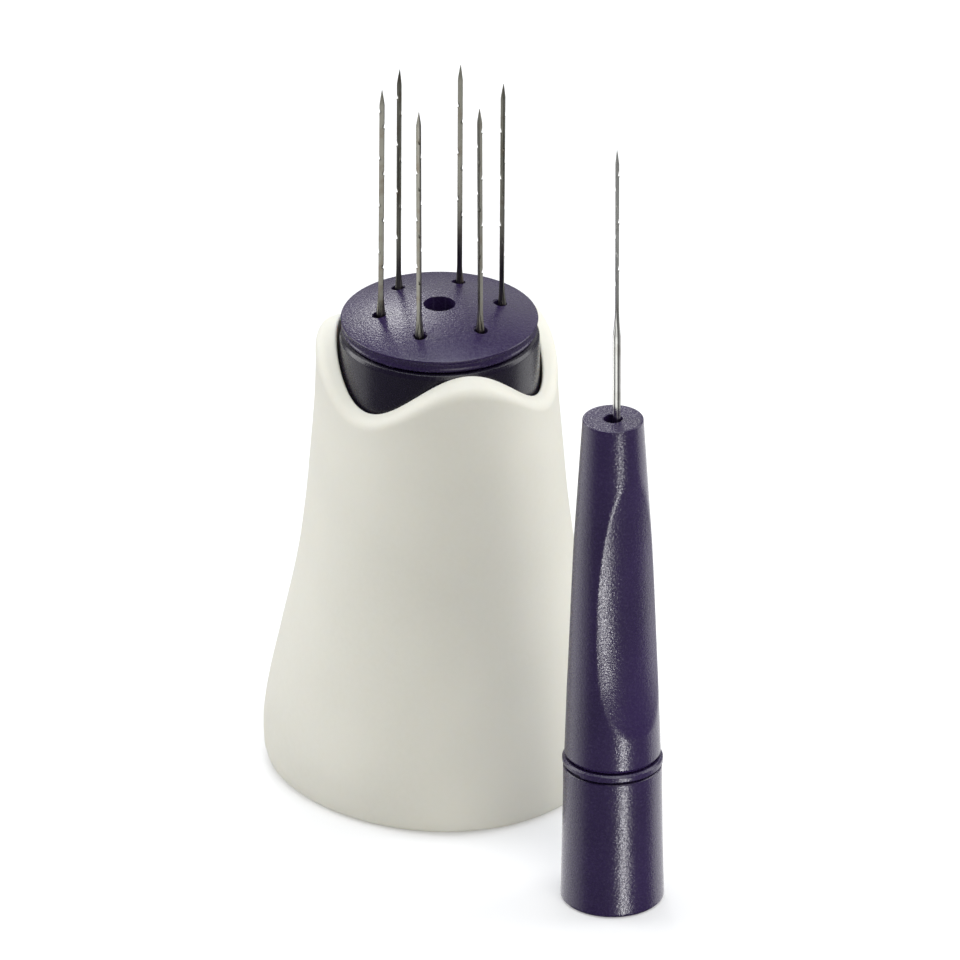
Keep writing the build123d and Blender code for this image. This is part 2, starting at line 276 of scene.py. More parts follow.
def ivory_material():
    mat, nt, b = new_mat("ivory_moulded_plastic")
    co = coords(nt)
    # slow drift of tone through the moulding
    drift = noise(nt, co, 38.0, 2.0, 0.5)
    tone = mix_colour(nt, remap(nt, drift, 0.35, 0.65, 0, 1), (0.668, 0.655, 0.580), (0.718, 0.704, 0.625))
    fleck = noise(nt, co, 1400.0, 2.0, 0.6)
    tone = mix_colour(nt, remap(nt, fleck, 0.30, 0.75, 0.0, 0.22), tone, (0.74, 0.73, 0.67))
    # convex edges are mixed towards a paler tone: a painted edge highlight
    painted_edge_highlight = nt.nodes.new("ShaderNodeNewGeometry").outputs["Pointiness"]
    tone = mix_colour(nt, remap(nt, painted_edge_highlight, 0.51, 0.60, 0.0, 0.55), tone, (0.78, 0.77, 0.72))
    nt.links.new(tone, b.inputs["Base Color"])
    rough = remap(nt, noise(nt, co, 900.0, 3.0, 0.6), 0.3, 0.7, 0.50, 0.60)
    nt.links.new(rough, b.inputs["Roughness"])
    grain = noise(nt, co, 4200.0, 3.0, 0.55)
    n1 = bump(nt, b, grain, 0.30, 0.000012)
    wave = noise(nt, co, 55.0, 1.0, 0.4)
    n2 = bump(nt, b, wave, 0.12, 0.0004, below=n1)
    nt.links.new(n2, b.inputs["Normal"])
    b.inputs["IOR"].default_value = 1.49
    b.inputs["Subsurface Weight"].default_value = 0.18
    b.inputs["Subsurface Radius"].default_value = (1.0, 0.75, 0.45)
    b.inputs["Subsurface Scale"].default_value = 0.0016
    return mat


def aubergine_material(name="aubergine_grained_plastic", dark=1.0, grit=1.0):
    mat, nt, b = new_mat(name)
    co = coords(nt)
    drift = noise(nt, co, 70.0, 2.0, 0.5)
    tone = mix_colour(nt, remap(nt, drift, 0.35, 0.65, 0, 1), (0.0160 * dark, 0.0078 * dark, 0.041 * dark), (0.0210 * dark, 0.0102 * dark, 0.053 * dark))
    # the moulded grain is a little paler on its peaks
    grain = noise(nt, co, 3300.0, 2.0, 0.6, 0.3)
    tone = mix_colour(nt, remap(nt, grain, 0.52, 0.72, 0.0, 0.40 * grit), tone, (0.047 * dark, 0.033 * dark, 0.094 * dark))
    # convex edges are mixed towards a pale lilac: a painted edge highlight
    painted_edge_highlight = nt.nodes.new("ShaderNodeNewGeometry").outputs["Pointiness"]
    tone = mix_colour(nt, remap(nt, painted_edge_highlight, 0.53, 0.68, 0.0, 0.5), tone, (0.08 * dark, 0.065 * dark, 0.13 * dark))
    nt.links.new(tone, b.inputs["Base Color"])
    rough = remap(nt, noise(nt, co, 2600.0, 2.0, 0.6), 0.3, 0.7, 0.21, 0.32)
    nt.links.new(rough, b.inputs["Roughness"])
    n1 = bump(nt, b, grain, 1.0, 0.000044 * grit)
    coarse = noise(nt, co, 1900.0, 1.0, 0.5)
    n2 = bump(nt, b, coarse, 0.45, 0.000040 * grit, below=n1)
    nt.links.new(n2, b.inputs["Normal"])
    b.inputs["IOR"].default_value = 1.5
    b.inputs["Specular IOR Level"].default_value = 0.5
    return mat


def dark_plastic_material():
    mat, nt, b = new_mat("dark_core_plastic")
    co = coords(nt)
    drift = noise(nt, co, 120.0, 3.0, 0.5)
    tone = mix_colour(nt, remap(nt, drift, 0.35, 0.65, 0, 1), (0.020, 0.017, 0.028), (0.034, 0.029, 0.045))
    # convex edges are mixed towards a paler grey: a painted edge highlight
    painted_edge_highlight = nt.nodes.new("ShaderNodeNewGeometry").outputs["Pointiness"]
    tone = mix_colour(nt, remap(nt, painted_edge_highlight, 0.52, 0.64, 0.0, 0.5), tone, (0.10, 0.095, 0.12))
    nt.links.new(tone, b.inputs["Base Color"])
    nt.links.new(remap(nt, noise(nt, co, 700.0, 3.0), 0.3, 0.7, 0.34, 0.50), b.inputs["Roughness"])
    # fine turning marks round the piece
    w = nt.nodes.new("ShaderNodeTexWave")
    w.wave_type = "BANDS"
    w.bands_direction = "Z"
    w.inputs["Scale"].default_value = 900.0
    w.inputs["Distortion"].default_value = 1.5
    nt.links.new(co, w.inputs["Vector"])
    nt.links.new(bump(nt, b, w.outputs["Fac"], 0.25, 0.00001), b.inputs["Normal"])
    return mat


def metal_material(name, a, c, rough_lo, rough_hi, streak=(2600.0, 2600.0, 60.0), strength=0.35, tint=None):
    mat, nt, b = new_mat(name)
    co = coords(nt)
    stretch = nt.nodes.new("ShaderNodeMapping")
    stretch.inputs["Scale"].default_value = streak
    nt.links.new(co, stretch.inputs["Vector"])
    draw = noise(nt, stretch.outputs["Vector"], 1.0, 3.0, 0.6)
    tone = mix_colour(nt, remap(nt, draw, 0.3, 0.7, 0, 1), a, c)
    if tint is not None:
        spots = noise(nt, co, 420.0, 3.0, 0.6)
        tone = mix_colour(nt, remap(nt, spots, 0.52, 0.72, 0.0, 0.65), tone, tint)
    nt.links.new(tone, b.inputs["Base Color"])
    nt.links.new(remap(nt, draw, 0.3, 0.7, rough_lo, rough_hi), b.inputs["Roughness"])
    nt.links.new(bump(nt, b, draw, strength, 0.000006), b.inputs["Normal"])
    b.inputs["Metallic"].default_value = 1.0
    return mat


def rubber_material(name, a, c):
    mat, nt, b = new_mat(name)
    co = coords(nt)
    tone = mix_colour(nt, remap(nt, noise(nt, co, 500.0, 4.0, 0.6), 0.3, 0.7, 0, 1), a, c)
    nt.links.new(tone, b.inputs["Base Color"])
    nt.links.new(remap(nt, noise(nt, co, 1200.0, 2.0), 0.3, 0.7, 0.55, 0.75), b.inputs["Roughness"])
    nt.links.new(bump(nt, b, noise(nt, co, 2600.0, 3.0), 0.4, 0.00001), b.inputs["Normal"])
    return mat


IVORY = ivory_material()
AUBERGINE = aubergine_material()
# the cup is the same plastic with less grain, its colour painted 0.3 times as dark: a painted shade over the whole cup
AUBERGINE_CUP_SHADED = aubergine_material("aubergine_satin_cup_painted_shade", 0.30, 0.30)
DARK = dark_plastic_material()
# the palm needles' steel is painted far darker than bare steel: a painted shade; the pen needle's steel below keeps a
# bare-steel brightness
NEEDLE_STEEL_SHADED = metal_material("needle_carbon_steel_painted_shade", (0.14, 0.137, 0.115), (0.27, 0.262, 0.225), 0.22, 0.36, tint=(0.13, 0.095, 0.06))
PEN_STEEL = metal_material("needle_bright_steel", (0.50, 0.50, 0.475), (0.68, 0.68, 0.65), 0.16, 0.28, tint=(0.34, 0.32, 0.28))
ZINC = metal_material("zinc_plated_screw", (0.50, 0.51, 0.52), (0.66, 0.67, 0.68), 0.25, 0.42, streak=(400.0, 400.0, 1600.0), tint=(0.55, 0.53, 0.45))
BRASS = metal_material("turned_brass", (0.66, 0.48, 0.20), (0.80, 0.62, 0.32), 0.22, 0.38, streak=(300.0, 300.0, 3000.0), tint=(0.50, 0.34, 0.16))
RUBBER = rubber_material("black_nitrile_rubber", (0.012, 0.012, 0.012), (0.030, 0.030, 0.029))
SILICONE = rubber_material("grey_silicone", (0.10, 0.10, 0.105), (0.15, 0.15, 0.155))


def paint(obj, mat):
    obj.data.materials.clear()
    obj.data.materials.append(mat)


GLOSSY = []


def place(obj, mat, body, slot, *nodes_replaced):
    paint(obj, mat)
    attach(obj, body)
    if nodes_replaced:
        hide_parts(*nodes_replaced)
    if not slot.startswith("ivory"):
        GLOSSY.append(obj)


# ------------------------------------------------------------------ handle shell
PROFILE = [
    (0.0, 23.75), (2.2, 24.3), (5.5, 24.4), (8.7, 24.1), (11.8, 23.6), (15.0, 22.95), (18.2, 22.25), (21.3, 21.6), (24.5, 20.9), (27.6, 20.25), (30.8, 19.65),
    (33.9, 19.15), (37.1, 18.75), (40.2, 18.4), (43.4, 18.1), (46.6, 17.85), (49.7, 17.6), (52.9, 17.35), (56.0, 17.15), (60.0, 17.0), (65.0, 16.9), (72.0, 16.85),
]
CREST, LOBE, RIM_Z, RIM_AMP, RIM_SLOPE, SOCKET_R = 284.5, 0.55, 63.5, 3.8, 0.47, 14.4


def handle_shell():
    n = 288
    th = np.arange(n) * 2 * math.pi / n
    crest = np.cos(3 * (th - math.radians(CREST)))
    lobe = LOBE * crest
    wave = RIM_Z + RIM_AMP * crest

    def at(r, z):
        return np.stack([np.broadcast_to(r, n), np.broadcast_to(z, n)], 1).astype(float)

    def wall(z):
        return at(smooth_curve(PROFILE, np.full(n, z) if np.isscalar(z) else z) + lobe, z)

    r_top = wall(61.0)[:, 0]
    corner = at(r_top, wave - RIM_SLOPE * (r_top - SOCKET_R))
    inner = at(SOCKET_R, wave)
    # outer wall, from the foot's round up to where the rim's round starts
    foot = arc_rows(at(20.0, 0.0), wall(0.0), wall(2.2), 1.1, 8)
    rim_round = arc_rows(at(r_top, 40.0), corner, inner, 2.0, 12)
    z0, z1 = 1.35, rim_round[0][:, 1]
    rows = list(foot)
    steps = 86
    for k in range(1, steps):
        t = k / steps
        z = z0 + (z1 - z0) * t
        w = wall(z)
        # ease onto the straight top so that the rim's round starts tangent
        blend = np.clip((t - 0.86) / 0.14, 0, 1) ** 2
        w[:, 0] = w[:, 0] * (1 - blend) + r_top * blend
        rows.append(w)
    rows += rim_round
    inner_round = arc_rows(corner, inner, at(SOCKET_R, 30.0), 0.28, 6)
    a, b = rim_round[-1], inner_round[0]
    rows += [a + (b - a) * t for t in (0.12, 0.35, 0.6, 0.85)]
    rows += inner_round
    b = inner_round[-1]
    for k in range(1, 14):
        rows.append(at(SOCKET_R, b[:, 1] + (23.5 - b[:, 1]) * k / 14))
    rows += [at(SOCKET_R, 23.62), at(SOCKET_R, 23.5), at(14.28, 23.5), at(11.6, 23.5), at(11.5, 23.5), at(11.5, 23.4), at(11.5, 22.1), at(11.5, 22.0), at(11.6, 22.0), at(15.7, 22.0), at(15.8, 22.0), at(15.8, 22.1)]
    rows += [at(15.8, z) for z in np.linspace(24, 42.0, 8)]
    inside = [(r - 2.3, z) for z, r in PROFILE if z <= 42]
    rows += [at(15.8, 43.6), at(15.95, 43.6)]
    for r, z in reversed(inside):
        if z > 2.4 and r > 15.95:
            rows.append(at(r, z))
    rows += [at(21.95, 2.5), at(21.85, 2.4), at(21.45, 2.4), at(21.4, 2.3), at(21.4, 0.5), at(21.42, 0.12), at(21.55, 0.0), at(22.0, 0.0)]
    rows.append(at(22.3, 0.0))
    obj = grid_mesh("handle_shell_skin", ring3(rows, th), True)
    obj.data.set_sharp_from_angle(angle=math.radians(50))
    return obj


place(handle_shell(), IVORY, "handle", "ivory_shell", "handle_shell")

plate = turned("palm_plate_skin", [
    (0, 0.0, 0), (20.9, 0.0, 0.3), (21.32, 0.45, 0.3), (21.32, 2.4, 0.15), (17.4, 2.4, 0.3), (17.4, 21.9, 0.3), (16.2, 21.9, 0.3), (16.2, 2.4, 0.3), (0, 2.4, 0),
], n=192)
place(plate, IVORY, "handle", "ivory_plate", "palm_plate")

# ------------------------------------------------------------------ needle head
cup = turned("head_cup_skin", [
    (0, 23.6, 0), (13.1, 23.6, 0.3), (14.12, 24.6, 0.4), (14.12, 39.1, 0.12), (13.22, 39.1, 0.12), (13.22, 40.9, 0.12), (14.12, 40.9, 0.12), (14.12, 57.0, 4.0), (14.05, 66.40, 0.5),
    (13.80, 66.92, 0.3), (13.4, 67.15, 0.25), (12.5, 67.15, 0.15), (12.5, 25.6, 0.5), (0, 25.6, 0),
], n=224)
place(cup, AUBERGINE_CUP_SHADED, "needle_head", "aubergine_plastic", "head_cup")

NEEDLE_AZ = 12.0
PCD_R = 8.7


def needle_cap():
    crown, rim, cap_r = 71.35, 69.2, 14.0
    big = ((crown - rim) ** 2 + cap_r ** 2) / (2 * (crown - rim))
    dome = [(cap_r * t, crown - big + math.sqrt(big * big - (cap_r * t) ** 2)) for t in np.linspace(0, 1, 16)]
    n = 256
    corners = [(0, crown, 0)] + [(r, z, 0) for r, z in dome[1:-1]] + [
        (cap_r, rim, 0.22), (cap_r - 0.42, rim - 0.60, 0.55), (cap_r - 0.36, rim - 1.15, 0.4), (cap_r - 0.20, 67.74, 0.24), (cap_r - 0.55, 67.35, 0.25), (12.25, 67.35, 0.12), (12.25, 63.9, 0.15), (12.0, 63.6, 0.12), (10.9, 63.6, 0.15),
        (10.9, 67.35, 0.2), (4.4, 67.35, 0.3), (4.4, 63.0, 0.15), (3.65, 63.0, 0.1), (3.65, 67.0, 0.02), (0, 67.0, 0),
    ]
    obj = turned("needle_cap_skin", corners, n=n)
    cutters = []

    def drill(x, y, r, z0, z1, seg, flare):
        """A round hole with a small rounded mouth at the dome."""
        top = crown - big + math.sqrt(big * big - x * x - y * y)
        prof = [(r, z0), (r, top - flare)]
        for k in range(1, 6):
            a = math.pi / 2 * k / 5
            prof.append((r + flare * (1 - math.cos(a)), top - flare + flare * math.sin(a)))
        prof += [(r + flare + 0.0, top + 0.6), (r + flare, z1)]
        t = np.arange(seg) * 2 * math.pi / seg
        rows = ring3([const(a, b, seg) for a, b in prof], t, x, y)
        return grid_mesh("cutter", rows, False, True, True)

    cutters.append(drill(0, 0, 2.25, 60, 75, 96, 0.14))
    for k in range(6):
        a = math.radians(NEEDLE_AZ + 60 * k)
        cutters.append(drill(PCD_R * math.cos(a), PCD_R * math.sin(a), 0.965, 60, 75, 64, 0.10))
    boolean(obj, cutters)
    obj.data.shade_smooth()
    obj.data.set_sharp_from_angle(angle=math.radians(38))
    return obj


place(needle_cap(), AUBERGINE, "cap", "aubergine_plastic", "needle_cap")


# ------------------------------------------------------------------ needles
def needle(name, x, y, crank_deg, crank_z, tip_z, shank_top, mid_top, blade_z, blade_r, roll, first_barb, lean, crank_l, mid=0.605, bow=0.0):
    n = 48
    ang = np.arange(n) * 2 * math.pi / n
    sh, bend = 0.915, 1.5
    rolled = ang - math.radians(roll)
    wrap = (rolled + math.pi / 3) % (2 * math.pi / 3) - math.pi / 3
    # triangle with corners at roll, roll + 120, roll + 240, its corners broken by a small round
    tri = 0.5 / np.cos((rolled % (2 * math.pi / 3)) - math.pi / 3)
    tri = smin(tri, np.full(n, 0.93), 0.12)
    tri_flat = 1 / np.cos((rolled % (2 * math.pi / 3)) - math.pi / 3)
    edge_of = np.floor(((rolled + math.pi / 3) % (2 * math.pi)) / (2 * math.pi / 3)).astype(int)
    barbs = []
    z, e = tip_z - 2.3 - 1.2 - first_barb, 0
    while z > blade_z + 3.0:
        barbs.append((z, e))
        z -= 2.45
        e = (e + 1) % 3
    # heights: coarse along the shank, fine over the blade, finest by each barb
    zs = list(np.arange(crank_z + bend, shank_top, 1.6)) + list(np.linspace(shank_top, shank_top + 1.6, 8)) + list(np.arange(shank_top + 2.4, mid_top, 1.2)) + list(np.linspace(mid_top, blade_z, 26)) + list(np.arange(blade_z + 0.3, tip_z - 0.02, 0.32))
    for bz, _ in barbs:
        zs += list(bz + np.array([-0.42, -0.30, -0.20, -0.14, -0.10, -0.06, -0.02, 0.02, 0.08, 0.15, 0.25, 0.36, 0.48, 0.62, 0.78]))
    zs += list(tip_z - np.array([2.3, 1.9, 1.5, 1.1, 0.8, 0.55, 0.35, 0.2, 0.1, 0.04, 0.0]))
    zs = np.array(sorted(zs))
    zs = zs[np.concatenate([[True], np.diff(zs) > 0.012])]
    rows = []
    # bent end, from its blunt tip round to the straight
    rim = [(0.0, sh - 0.18), (0.05, sh - 0.09), (0.14, sh - 0.02), (0.25, sh)]
    for d, r in rim:
        rows.append(np.stack([np.full(n, -crank_l + d), r * np.sin(ang), crank_z + r * -np.cos(ang)], 1))
    for t in np.linspace(0.15, 1, 6):
        rows.append(np.stack([np.full(n, -crank_l + 0.25 + (crank_l - bend - 0.25) * t), sh * np.sin(ang), crank_z - sh * np.cos(ang)], 1))
    for a in np.linspace(0, math.pi / 2, 15)[1:]:
        u = -bend + bend * math.sin(a)
        w = crank_z + bend - bend * math.cos(a)
        # the section's outward direction turns from -Z to +X
        ex, ez = math.sin(a), -math.cos(a)
        rows.append(np.stack([u + sh * np.cos(ang) * ex, sh * np.sin(ang), w + sh * np.cos(ang) * ez], 1))
    for z in zs[1:]:
        if z <= shank_top:
            r = np.full(n, sh)
        elif z <= shank_top + 1.6:
            t = (z - shank_top) / 1.6
            t = t * t * (3 - 2 * t)
            r = np.full(n, sh + (mid - sh) * t)
        elif z <= mid_top:
            r = np.full(n, mid)
        else:
            # the three flats run out into the cone
            t = min(1.0, (z - mid_top) / (blade_z - mid_top))
            corner = mid + (blade_r * 0.93 - mid) * (1 - (1 - t) ** 2.2)
            flat = mid + (blade_r * 0.5 - mid) * (1 - (1 - t) ** 1.9) + 0.02 * (1 - t)
            r = smin(flat * tri_flat, np.full(n, corner), 0.05)
            if z > tip_z - 2.3:
                q = max(0.0, (tip_z - z) / 2.3)
                r = r * (0.045 + 0.955 * q ** 0.86)
            for bz, e in barbs:
                dz = z - bz
                if -0.45 < dz < 0.80:
                    near = np.clip(1 - np.abs(wrap) / 0.62, 0, 1) * (edge_of == e)
                    if dz < -0.06:      # raised lip on the shank side
                        r = r + near * 0.055 * math.exp(-((dz + 0.10) / 0.13) ** 2)
                    else:               # throat, deepest beside the lip
                        depth = 0.22 * max(0.0, 1 - (dz + 0.06) / 0.78) ** 1.3
                        r = r - near * depth
        rows.append(np.stack([r * np.cos(ang), r * np.sin(ang), np.full(n, z)], 1))
    rows = np.array(rows)
    # lean about the bent end, then turn the bent end to its slot; a slight bow keeps it from ruler-straight
    k = math.radians(crank_deg)
    up = np.clip((rows[:, :, 2] - shank_top) / (tip_z - shank_top), 0, 1)
    px = rows[:, :, 0] * math.cos(k) - rows[:, :, 1] * math.sin(k)
    py = rows[:, :, 0] * math.sin(k) + rows[:, :, 1] * math.cos(k)
    pz = rows[:, :, 2] - crank_z
    a = math.radians(lean)
    qx = px * math.cos(a) + pz * math.sin(a) + bow * up ** 2
    qz = -px * math.sin(a) + pz * math.cos(a) + crank_z
    out = np.stack([qx + x, py + y, qz], 2)
    obj = grid_mesh(name, out, False, True, True)
    obj.data.set_sharp_from_angle(angle=math.radians(46))
    return obj


PALM = [(3, 105.9, 0.38, 20.0, 0.0), (2, 104.9, 0.22, 55.0, 1.1), (1, 104.7, 0.22, 5.0, 0.6), (0, 105.0, 0.36, 40.0, 1.7), (5, 105.3, -0.16, 70.0, 0.3), (4, 105.7, -0.12, 30.0, 1.4)]
for i, (k, tip, lean, roll, off) in enumerate(PALM, 1):
    deg = NEEDLE_AZ + 60 * k
    a = math.radians(deg)
    blade_z = tip - 31.3
    o = needle(f"needle_{i}_skin", PCD_R * math.cos(a), PCD_R * math.sin(a), deg, 27.95, tip, 60.5, blade_z - 3.3, blade_z, 0.47, roll, off, lean, 4.2)
    place(o, NEEDLE_STEEL_SHADED, "needle_head", "needle_steel", f"needle_{i}")

pen_tip, pen_blade = 117.1, 117.1 - 24.6
o = needle("pen_needle_skin", PEN_X + 0.5, PEN_Y, 0.0, 29.11, pen_tip, 62.0, pen_blade - 4.5, pen_blade, 0.36, 15.0, 0.6, 0.0, 3.4, mid=0.565)
place(o, PEN_STEEL, "pen_base", "needle_steel", "pen_needle")

# ------------------------------------------------------------------ pen
end_cap = turned("pen_end_cap_skin", [
    (0, 0, 0), (6.85, 0.0, 0.25), (7.25, 0.42, 0.35), (7.16, 4.0, 12.0), (7.03, 10.0, 20.0), (6.93, 17.0, 20.0), (6.93, 20.75, 0.14), (6.78, 20.9, 0.1), (5.2, 20.9, 0.12), (5.2, 2.0, 0.4), (0, 2.0, 0),
], n=192, cx=PEN_X, cy=PEN_Y)
place(end_cap, AUBERGINE, "pen_base", "aubergine_plastic", "pen_end_cap")


def pen_collar():
    n = 240
    th = np.arange(n) * 2 * math.pi / n

    def at(r, z):
        return np.stack([np.broadcast_to(r, n), np.broadcast_to(z, n)], 1).astype(float)

    # shallow release notch in the lower edge
    turn = (np.degrees(th) - 205 + 180) % 360 - 180
    lift = 0.2 * np.clip((25.5 - np.abs(turn)) / 2.0, 0, 1)
    low = 21.3 + lift
    cs = [(at(4.65, 21.3), 0.05, 3), (at(6.15, 21.3), 0.0, 1), (at(6.25, low), 0.03, 3), (at(7.06, low), 0.12, 5), (at(7.06, 22.02), 0.16, 5), (at(6.72, 22.3), 0.08, 4), (at(4.65, 22.3), 0.05, 3)]
    rows = section_rows(cs, True, 0.4, 0.06)
    obj = grid_mesh("pen_collar_skin", ring3(rows, th, PEN_X, PEN_Y), True)
    obj.data.set_sharp_from_angle(angle=math.radians(50))
    return obj


place(pen_collar(), AUBERGINE, "collar", "aubergine_plastic", "pen_collar")

GRIP = [(22.45, 6.76), (30.7, 6.49), (37.0, 6.28), (43.3, 6.07), (49.6, 5.81), (55.9, 5.48), (62.2, 5.08), (67.3, 4.76), (75.1, 4.27)]
RECESS_DEG, RECESS_R = -54.0, 10.5
RECESS = [
    (67.6, 0.0), (66.6, 13.5), (65.6, 23.0), (64.2, 31.7), (61.6, 41.5), (57.1, 51.6), (51.8, 57.8), (44.7, 60.2), (42.0, 60.0),
    (38.6, 58.3), (35.6, 55.6), (33.2, 50.6), (31.4, 44.1), (30.0, 36.8), (29.0, 29.5), (28.2, 19.0), (27.8, 0.0),
]


def pen_grip():
    n = 360
    th = np.arange(n) * 2 * math.pi / n
    gz = np.array([g[0] for g in GRIP])
    gr = np.array([g[1] for g in GRIP])

    def radius(z):
        return np.interp(z, gz, gr)

    pts = []
    for z, h in RECESS:
        r, a = radius(z), math.radians(h)
        pts.append((z, -r * math.cos(a) + math.sqrt(RECESS_R ** 2 - (r * math.sin(a)) ** 2)))
    pts += [(69.2, RECESS_R - radius(69.2) - 0.22), (27.3, RECESS_R - radius(27.3) - 0.55), (26.9, RECESS_R - radius(26.9) - 1.1)]

    def outer(z, r=None):
        """Radius at each azimuth: the turned grip, cut by the two recess floors."""
        base = np.full(n, radius(z) if r is None else r)
        if not 26.95 < z < 69.1:
            return base
        t = float(smooth_curve(pts, [z])[0])
        out = base
        for deg in (RECESS_DEG, RECESS_DEG + 180):
            a = (th - math.radians(deg) + math.pi) % (2 * math.pi) - math.pi
            # distance to a circle of radius RECESS_R whose centre is t behind the axis
            ray = -t * np.cos(a) + np.sqrt(RECESS_R ** 2 - (t * np.sin(a)) ** 2)
            out = smin(out, ray, 0.16)
        return np.where(out > base - 0.003, np.minimum(out, base), out)

    rows = []

    def add(r, z):
        rows.append(np.stack([np.broadcast_to(r, n), np.broadcast_to(z, n)], 1).astype(float))

    # foot of the grip
    for r, z in arc_points((4.65, 22.45), (6.36, 22.45), (6.50, 22.80), 0.10, 4) + arc_points((6.36, 22.45), (6.50, 22.80), (6.75, 23.0), 0.14, 4) + arc_points((6.50, 22.80), (6.75, 23.0), (6.735, 23.6), 0.10, 4):
        add(r, z)
    zs = np.concatenate([np.linspace(23.5, 26.9, 12), np.arange(27.0, 35.0, 0.11), np.arange(35.0, 60.0, 0.22), np.arange(60.0, 69.3, 0.12), np.linspace(69.4, 74.6, 16)])
    for z in zs:
        add(outer(z), z)
    for r, z in arc_points((4.34, 74.0), (4.27, 75.1), (3.0, 75.1), 0.20, 6):
        add(r, z)
    for r, z in [(3.95, 75.1), (3.0, 75.1), (2.0, 75.1), (1.6, 75.1)] + arc_points((2.0, 75.1), (1.33, 75.1), (1.33, 70), 0.12, 5) + [(1.33, 74.6), (1.33, 72.0), (1.33, 70.12), (1.33, 70.0), (1.42, 70.0), (1.6, 69.9)]:
        add(r, z)
    for z in np.linspace(69.0, 31.0, 14):
        add(1.6, z)
    for r, z in [(1.6, 30.35), (1.6, 30.2), (1.7, 30.2), (3.8, 30.2), (3.9, 30.2), (3.9, 30.1), (3.9, 28.3), (3.9, 28.15), (4.0, 28.15), (4.55, 28.15), (4.65, 28.15), (4.65, 28.05), (4.65, 25.0), (4.65, 22.6)]:
        add(r, z)
    for r, z in arc_points((4.65, 24.0), (4.65, 22.45), (6.0, 22.45), 0.12, 4) + [(4.95, 22.45), (6.0, 22.45)]:
        add(r, z)
    obj = grid_mesh("pen_grip_skin", ring3(rows, th, PEN_X, PEN_Y), True)
    obj.data.set_sharp_from_angle(angle=math.radians(50))
    return obj


def arc_points(a, b, c, rad, k):
    rows = arc_rows(np.array([a], float), np.array([b], float), np.array([c], float), rad, k)
    return [(float(q[0, 0]), float(q[0, 1])) for q in rows]


place(pen_grip(), AUBERGINE, "grip", "aubergine_plastic", "pen_grip")

# ------------------------------------------------------------------ CAD nodes that stay
for name, mat in {
    "needle_carrier": DARK, "pressure_foot": DARK, "pen_core": DARK, "clamp_nut": BRASS, "clamp_screw": ZINC, "clamp_pad": SILICONE, "head_o_ring": RUBBER,
}.items():
    paint(NODES[name], mat)
    GLOSSY.append(NODES[name])

# ------------------------------------------------------------------ stage, light, camera
ELEV = math.asin(0.463)
bpy.ops.mesh.primitive_plane_add(size=1)
floor = bpy.context.object
floor.name = "floor"
floor.scale = (6, 6, 1)
fmat, fnt, fb = new_mat("pale_floor")
fco = coords(fnt)
ftone = mix_colour(fnt, remap(fnt, noise(fnt, fco, 6.0, 3.0), 0.3, 0.7, 0, 1), (0.58, 0.58, 0.58), (0.61, 0.61, 0.61))
# the sheet is white, but where glossy rays see it its colour is painted dark grey, so the glossy pieces show a painted
# dark reflection of it
fseen = fnt.nodes.new("ShaderNodeLightPath")
ftone = mix_colour(fnt, fseen.outputs["Is Glossy Ray"], ftone, (0.09, 0.09, 0.09))
fnt.links.new(ftone, fb.inputs["Base Color"])
# the sheet is lit from below, so that nothing on it gets a hard dark line under its edge
fnt.links.new(remap(fnt, fseen.outputs["Is Glossy Ray"], 0.0, 1.0, 0.27, 0.02), fb.inputs["Emission Strength"])
fb.inputs["Emission Color"].default_value = (1.0, 1.0, 1.0, 1.0)
fb.inputs["Roughness"].default_value = 0.55
fb.inputs["Specular IOR Level"].default_value = 0.25
paint(floor, fmat)

world = bpy.data.worlds.new("studio")
world.use_nodes = True
scene.world = world
wnt = world.node_tree
bg = wnt.nodes["Background"]
bg.inputs["Color"].default_value = (1.0, 1.0, 1.0, 1.0)
bg.inputs["Strength"].default_value = 0.10
paper = wnt.nodes.new("ShaderNodeBackground")
paper.inputs["Strength"].default_value = 1.0
paper.inputs["Color"].default_value = (1.0, 1.0, 1.0, 1.0)
seen = wnt.nodes.new("ShaderNodeLightPath")
wmix = wnt.nodes.new("ShaderNodeMixShader")
wnt.links.new(seen.outputs["Is Camera Ray"], wmix.inputs[0])
wnt.links.new(bg.outputs[0], wmix.inputs[1])
wnt.links.new(paper.outputs[0], wmix.inputs[2])
wnt.links.new(wmix.outputs[0], wnt.nodes["World Output"].inputs["Surface"])


def softbox(name, az, el, dist, w, h, power, colour=(1, 1, 1), target=(0.008, -0.015, 0.045)):
    """Azimuth 0 is +X, 90 is away from the camera."""
    a, e = math.radians(az), math.radians(el)
    t = Vector(target)
    p = t + dist * Vector((math.cos(a) * math.cos(e), math.sin(a) * math.cos(e), math.sin(e)))
    light = bpy.data.lights.new(name, "AREA")
    light.shape = "RECTANGLE"
    light.size, light.size_y = w, h
    light.energy = power
    light.color = colour
    obj = bpy.data.objects.new(name, light)
    scene.collection.objects.link(obj)
    obj.location = p
    obj.rotation_mode = "QUATERNION"
    obj.rotation_quaternion = (t - p).to_track_quat("-Z", "Y")
    return obj


def sky_sun(name, az, el, angle, power, colour=(1, 1, 1)):
    light = bpy.data.lights.new(name, "SUN")
    light.energy = power
    light.color = colour
    light.angle = math.radians(angle)
    obj = bpy.data.objects.new(name, light)
    scene.collection.objects.link(obj)
    a, e = math.radians(az), math.radians(el)
    d = Vector((math.cos(a) * math.cos(e), math.sin(a) * math.cos(e), math.sin(e)))
    obj.rotation_mode = "QUATERNION"
    obj.rotation_quaternion = (-d).to_track_quat("-Z", "Y")
    return obj


